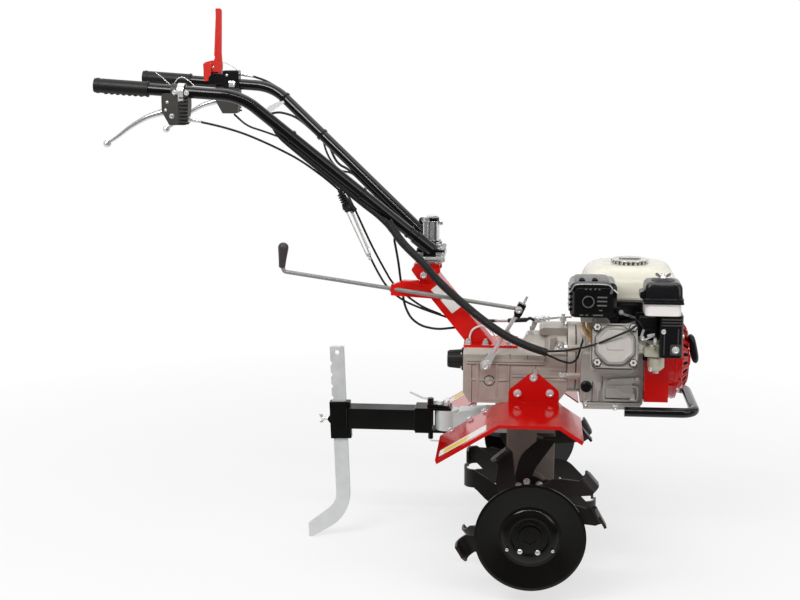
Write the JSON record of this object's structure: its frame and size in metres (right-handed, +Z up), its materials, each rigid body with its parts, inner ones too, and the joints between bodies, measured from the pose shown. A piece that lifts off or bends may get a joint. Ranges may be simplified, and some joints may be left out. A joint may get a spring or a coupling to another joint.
{
  "type": "garden tiller",
  "caption": "Walk-behind garden tiller: petrol engine and gearbox over a tined rotor with end discs, swivelling handlebars behind and a drag stake.",
  "frame": {"origin": "on the ground under the middle of the whole machine", "axes": "+X the way it drives, +Y its left side, +Z up"},
  "size_m": [1.4354, 0.81, 1.3485],
  "materials": {
    "bare_steel": "satin",
    "black_paint": "gloss",
    "black_plastic": "satin",
    "black_rubber": "matte",
    "cast_alloy": "rough cast",
    "cream_paint": "gloss",
    "disc_paint": "gloss",
    "engine_alloy": "cast",
    "galvanised": "matt",
    "grey_plastic": "satin",
    "hot_steel": "heat stained",
    "polished_alloy": "polished",
    "red_paint": "gloss",
    "red_plastic": "gloss",
    "tine_paint": "satin",
    "white_plastic": "satin",
    "zinc_plate": "satin"
  },
  "bodies": {
    "chassis": {"air_cleaner_band": "white_plastic", "air_cleaner_body": "black_plastic", "air_cleaner_cover": "black_plastic", "axle_leg": "tine_paint", "bell_housing": "cast_alloy", "cable_boot": "black_rubber", "cable_carburettor": "black_rubber", "cable_case": "black_rubber", "cable_column": "black_rubber", "cable_left_lever": "black_rubber", "cable_loop": "black_rubber", "cable_right_lever": "black_rubber", "cable_sleeve": "black_rubber", "cable_tensioner": "zinc_plate", "carburettor": "engine_alloy", "engine_crankcase": "engine_alloy", "engine_cylinder": "engine_alloy", "exhaust_pipes": "hot_steel", "fan_shroud": "red_paint", "fender_left": "red_paint", "fender_right": "red_paint", "front_bumper": "black_paint", "fuel_cap": "grey_plastic", "fuel_tank": "cream_paint", "gearbox_lower_case": "cast_alloy", "gearbox_upper_case": "cast_alloy", "handle_column": "red_paint", "hitch_bracket": "galvanised", "hitch_pin": "zinc_plate", "muffler": "black_paint", "rear_shaft_cap": "black_rubber", "recoil_cover": "red_paint", "recoil_handle": "black_plastic", "shift_arm": "zinc_plate", "shift_knob": "black_plastic", "shift_rod": "zinc_plate", "tank_bracket": "black_paint", "valve_cover": "engine_alloy"},
    "tine_rotor": {"axle_shaft": "bare_steel", "side_disc_left": "disc_paint", "side_disc_right": "disc_paint", "tine_reel_left": "tine_paint", "tine_reel_right": "tine_paint"},
    "handle_head": {"tilt_head": "red_paint"},
    "handlebars": {"grip_left": "black_rubber", "grip_right": "black_rubber", "hand_lever_left": "polished_alloy", "hand_lever_right": "polished_alloy", "handle_clamp": "black_paint", "handlebar_left": "black_paint", "handlebar_right": "black_paint", "lever_housing_left": "grey_plastic", "lever_housing_right": "grey_plastic", "red_lever": "red_plastic", "red_lever_mount": "black_plastic"},
    "hitch": {"hitch_arm": "black_paint"},
    "stake": {"drag_stake": "galvanised"}
  },
  "joints": [
    {"name": "tine_rotor", "type": "hinge", "parent": "chassis", "child": "tine_rotor", "pos_m": [0.31037, 0, 0.16451], "axis": [0, 1, 0], "continuous": true},
    {"name": "handle_tilt", "type": "hinge", "parent": "chassis", "child": "handle_head", "pos_m": [0.04037, 0, 0.70451], "axis": [0, 1, 0], "range_deg": [-10, 10], "deforming": ["cable_boot", "cable_carburettor", "cable_case", "cable_column", "cable_left_lever", "cable_loop", "cable_right_lever", "cable_sleeve", "cable_tensioner"]},
    {"name": "handle_swivel", "type": "hinge", "parent": "handle_head", "child": "handlebars", "pos_m": [0.05837, 0, 0.73051], "axis": [0, 0, 1], "range_deg": [-30, 30], "deforming": ["cable_boot", "cable_carburettor", "cable_case", "cable_column", "cable_left_lever", "cable_loop", "cable_right_lever", "cable_sleeve", "cable_tensioner"]},
    {"name": "hitch_swing", "type": "hinge", "parent": "chassis", "child": "hitch", "pos_m": [0.09637, 0, 0.32651], "axis": [0, 0, 1], "range_deg": [-15, 15]},
    {"name": "stake_slide", "type": "slide", "parent": "hitch", "child": "stake", "axis": [-0.0349, 0, 0.9994], "range_m": [0, 0.08]}
  ]
}
